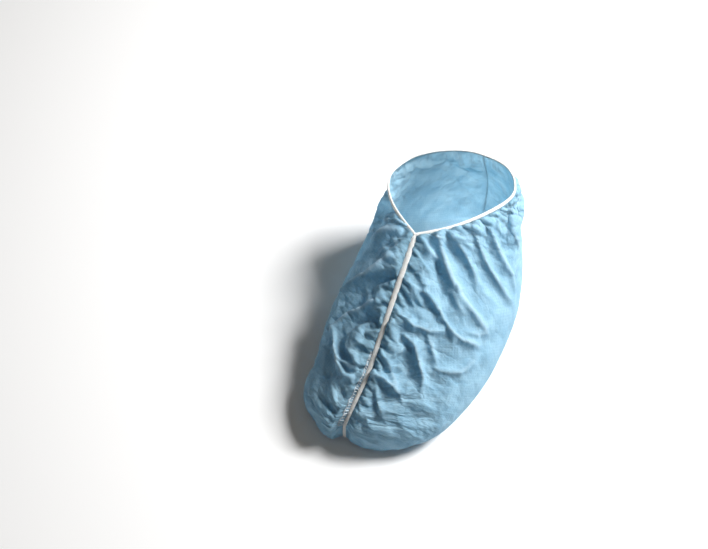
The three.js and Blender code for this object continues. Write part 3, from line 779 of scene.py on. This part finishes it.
def knitted_elastic(name, see_through, see_through_at_heel):
    """White elastic with fine ribs across it, a little soiled and with painted shade in the grooves between
    the ribs, and how much light it lets through.
    """
    elastic, tree = new_finish(name)
    strip = add(tree, "ShaderNodeUVMap", uv_map="strip").outputs[0]
    apart = add(tree, "ShaderNodeSeparateXYZ", [(0, strip)]).outputs
    ribs = worked(tree, "DIVIDE", worked(tree, "PINGPONG", apart[0], RIB_HALF), RIB_HALF)
    yarns = worked(tree, "DIVIDE", worked(tree, "PINGPONG", apart[1], YARN_HALF), YARN_HALF)
    place = add(tree, "ShaderNodeTexCoord").outputs["Object"]
    soil = noise(tree, place, 130.0, 3.0, "3D")[0]
    lint = noise(tree, place, 2200.0, 2.0, "3D")[0]
    tint = mixed(tree, ranged(tree, soil, 0.42, 0.8, 0.0, 0.55), ELASTIC_WHITE, ELASTIC_SOIL_AND_SHADE)
    # Painted shade: the grooves between the ribs are mixed toward the cream colour.
    tint = mixed(tree, ranged(tree, ribs, 0.0, 0.35, 0.35, 0.0), tint, ELASTIC_SOIL_AND_SHADE)
    height = worked(tree, "MULTIPLY_ADD", yarns, 0.06, worked(tree, "MULTIPLY", lint, 0.05))
    height = worked(tree, "MULTIPLY_ADD", ribs, 0.14, height)
    sheer = ranged(tree, apart[0], *HEEL_RUN, see_through, see_through_at_heel)
    finish_fabric(tree, tint, bumped(tree, height, 0.001, 0.8), sheer, elastic_surface)
    return elastic


tape.data.materials.append(knitted_elastic("white_tape", 0.5, 0.62))


# Overlock stitching: white thread looped over the seam allowance, which turns out beside the tape at the toe.
# Each stitch is a short bar on the left panel's cloth, and one thread chains their outer ends.
STITCH_PITCH = 2.7
STITCH_FROM, STITCH_TO, STITCH_SHORTENS = 1.9, 7.4, 0.45
STITCH_LEAN, STITCH_WANDERS = 1.1, 0.2
STITCHED_COLUMNS = (6, 120)
THREAD_ROUND, THREAD_SIDES = 0.3, 6
CHAIN_STEP, CHAIN_SWING, CHAIN_LIFT = 0.9, 0.35, 0.3
stitch_lifts = (0.1, 0.3, 0.38, 0.32, 0.15)

left_settled = settled["left_panel"]
left_outward = outward_of(left_settled, -1)
instep_run = run_of(left_settled[: 2 * MOUTH_COLUMN, -1])
first, last = instep_run[STITCHED_COLUMNS[0]], instep_run[STITCHED_COLUMNS[1]]


def on_left_cloth(run, down):
    """A place on the settled left panel and its outward direction, by the running length along the instep
    and the distance from the seam."""
    c = np.interp(run, instep_run, np.arange(len(instep_run)))
    low = min(int(c), len(instep_run) - 2)
    spots = []
    for column in (low, low + 1):
        way = run_of(left_settled[column, ::-1])
        fields = (left_settled[column, ::-1], left_outward[column, ::-1])
        spots.append([[np.interp(down, way, values) for values in field.T] for field in fields])
    (place, out), (next_place, next_out) = np.array(spots)
    return place + (next_place - place) * (c - low), unit(out + (next_out - out) * (c - low))


def thread_rings(line, lifts):
    """Rings of a round thread along a line of points, each lifted along its outward direction."""
    middle = np.array([p + o * h for (p, o), h in zip(line, lifts)])
    onward = unit(np.gradient(middle, axis=0))
    side = unit(np.cross(onward, [o for _, o in line]))
    over = np.cross(side, onward)
    turns = np.arange(THREAD_SIDES) * 2 * math.pi / THREAD_SIDES
    return np.array([[m + THREAD_ROUND * (s * math.cos(a) + o * math.sin(a)) for a in turns]
                     for m, s, o in zip(middle, side, over)])


def stitch_end(at):
    """How far from the seam a stitch ends, which is less and less up the instep."""
    return STITCH_TO * (1 - STITCH_SHORTENS * (at - first) / (last - first))


rng = np.random.default_rng(5)
bars = []
for at in np.arange(first, last, STITCH_PITCH):
    at += rng.normal() * STITCH_WANDERS
    line = []
    for share in np.linspace(0, 1, len(stitch_lifts)):
        from_seam = STITCH_FROM + (stitch_end(at) - STITCH_FROM) * share
        line.append(on_left_cloth(at + STITCH_LEAN * share, from_seam))
    bars.append(swept("stitch", thread_rings(line, stitch_lifts), False))
chain = []
for at in np.arange(first, last, CHAIN_STEP):
    swing = CHAIN_SWING * math.sin(2 * math.pi * at / STITCH_PITCH)
    chain.append(on_left_cloth(at + STITCH_LEAN, stitch_end(at) + swing))
bars.append(swept("chain", thread_rings(chain, [CHAIN_LIFT] * len(chain)), False))
bm = bmesh.new()
for bar in bars:
    bm.from_mesh(bar.data)
    bpy.data.objects.remove(bar)
stitch_mesh = bpy.data.meshes.new("overlock_stitches")
bm.to_mesh(stitch_mesh)
bm.free()
stitch_mesh.shade_smooth()
stitches = bpy.data.objects.new("overlock_stitches", stitch_mesh)
scene.collection.objects.link(stitches)
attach(stitches, "root")

THREAD_WHITE = (0.84, 0.87, 0.88, 1)
THREAD_SHADE = (0.52, 0.60, 0.66, 1)
thread, tree = new_finish("white_thread")
place = add(tree, "ShaderNodeTexCoord").outputs["Object"]
ply = add(tree, "ShaderNodeTexWave", [("Vector", place), ("Scale", 900.0), ("Distortion", 2.0)],
          bands_direction="DIAGONAL").outputs[1]
lint = noise(tree, place, 400.0, 3.0, "3D")[0]
tint = mixed(tree, ranged(tree, lint, 0.35, 0.7), THREAD_WHITE, THREAD_SHADE)
thread_surface = [("Base Color", tint), ("Normal", bumped(tree, ply, 0.0001, 0.7)), ("Roughness", 0.6),
                  ("Sheen Weight", 0.2), ("Specular IOR Level", 0.3)]
yarn = add(tree, "ShaderNodeBsdfPrincipled", thread_surface).outputs[0]
add(tree, "ShaderNodeOutputMaterial", [("Surface", yarn)])
stitch_mesh.materials.append(thread)


# Opening binding: the same white elastic, folded over the edge of the mouth and sewn through.
# It meets in a point at the top of the instep seam, and the drawn cloth puckers it finely.
BINDING_STEP = 0.7
BINDING_MITRE = 1.25
PUCKER_STEP, PUCKER_OUT, PUCKER_UP = 1.7, 0.16, 0.12
binding_outline = (
    (0.5, -2.3), (0.85, -1.7), (0.92, -0.6), (0.7, 0.4), (0.2, 0.9), (-0.5, 0.85), (-0.95, 0.3),
    (-1.05, -0.4), (-0.95, -0.95), (-0.75, -1.2), (-0.45, -1.1), (-0.45, -0.1), (0.15, -0.1), (0.15, -2.1),
)


def rim_of(points, side):
    """The rim's points on one panel, with the directions out of the cloth and up out of its edge."""
    edge = points[MOUTH_COLUMN:, ROWS]
    onward = unit(np.gradient(edge, axis=0))
    out = outward_of(points, side)[MOUTH_COLUMN:, ROWS - 2]
    out = unit(out - onward * np.sum(out * onward, axis=1, keepdims=True))
    return edge, out, np.cross(onward, out) * -side


rim_fields = []
for left, right in zip(rim_of(left_points, -1), rim_of(right_points, 1)):
    front, heel = (left[:1] + right[:1]) / 2, (left[-1:] + right[-1:]) / 2
    rim_fields.append(np.concatenate([front, left[1:-1], heel, right[-2:0:-1], front]))
rim, rim_out, rim_up = rim_fields[0], unit(rim_fields[1]), unit(rim_fields[2])
rim_up[[0, -1]] *= BINDING_MITRE
rim_run, rim, rim_out, rim_up = even(rim, BINDING_STEP, rim_out, rim_up)
rng = np.random.default_rng(9)
pucker_at = np.arange(0, rim_run[-1] + SPARE_RUN, PUCKER_STEP)
pucker = np.interp(rim_run, pucker_at, rng.uniform(-1, 1, size=len(pucker_at)))
rings = []
for k in range(len(rim) - 1):
    ring = []
    for out_by, up_by in binding_outline:
        plump = 1 + PUCKER_OUT * pucker[k] * (up_by < 0)
        ring.append(rim[k] + rim_out[k] * out_by * plump + rim_up[k] * (up_by + PUCKER_UP * pucker[k]))
    rings.append(ring)
binding = swept("opening_binding_elastic", np.array(rings), True)
binding.data.materials.append(knitted_elastic("white_binding", 0.2, 0.2))
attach(binding, "root")
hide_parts("opening_binding")


# Floor: a plain white studio table.
# It is matt, and it takes the cover's soft shadow.
FLOOR_WHITE = (0.93, 0.93, 0.93, 1)
FLOOR_HALF, FLOOR_DOWN = 6, 0.0003
bm = bmesh.new()
bmesh.ops.create_grid(bm, x_segments=1, y_segments=1, size=FLOOR_HALF)
bmesh.ops.translate(bm, verts=bm.verts, vec=(0, 0, -FLOOR_DOWN))
floor_mesh = bpy.data.meshes.new("floor")
bm.to_mesh(floor_mesh)
bm.free()
floor = bpy.data.objects.new("floor", floor_mesh)
scene.collection.objects.link(floor)
paint = bpy.data.materials.new("floor_white")
paint.use_nodes = True
paint.node_tree.nodes["Principled BSDF"].inputs["Base Color"].default_value = FLOOR_WHITE
paint.node_tree.nodes["Principled BSDF"].inputs["Roughness"].default_value = 0.9
floor_mesh.materials.append(paint)


# Light: a soft light high behind the cover on the right, which shades the left side and draws the folds.
# A weak fill and a pale room keep the shaded side readable, and a narrow lamp lights the inside of the mouth.
soft_lamps = (("key", (0.68, 0.76, 1.10), 0.6, 46.5), ("fill", (0.3, -0.6, 1.8), 0.8, 0.3))
MOUTH_LAMP, MOUTH_LAMP_AIM = (0.25, -0.35, 1.5), (-0.020, 0.120, 0.10)
MOUTH_LAMP_POWER, MOUTH_LAMP_ANGLE, MOUTH_LAMP_ROUND = 145, math.radians(5.5), 0.05
ROOM_TINT, ROOM_STRENGTH = (1.0, 0.94, 0.85, 1), 0.12


def aimed(place, target):
    """A lamp's place, turned to shine at a target."""
    back = Vector(place) - Vector(target)
    return Matrix.Translation(place) @ back.to_track_quat("Z", "Y").to_matrix().to_4x4()


for lamp, place, size, power in soft_lamps:
    light = bpy.data.objects.new(lamp, bpy.data.lights.new(lamp, "AREA"))
    light.data.energy = power
    light.data.size = size
    light.matrix_world = aimed(place, (0, 0, 0))
    scene.collection.objects.link(light)
into_mouth = bpy.data.objects.new("into_mouth", bpy.data.lights.new("into_mouth", "SPOT"))
into_mouth.data.energy = MOUTH_LAMP_POWER
into_mouth.data.spot_size = MOUTH_LAMP_ANGLE
into_mouth.data.spot_blend = 1
into_mouth.data.shadow_soft_size = MOUTH_LAMP_ROUND
into_mouth.matrix_world = aimed(MOUTH_LAMP, MOUTH_LAMP_AIM)
scene.collection.objects.link(into_mouth)
world = bpy.data.worlds.new("studio")
world.use_nodes = True
world.node_tree.nodes["Background"].inputs["Color"].default_value = ROOM_TINT
world.node_tree.nodes["Background"].inputs["Strength"].default_value = ROOM_STRENGTH
scene.world = world
scene.view_settings.view_transform = "Standard"
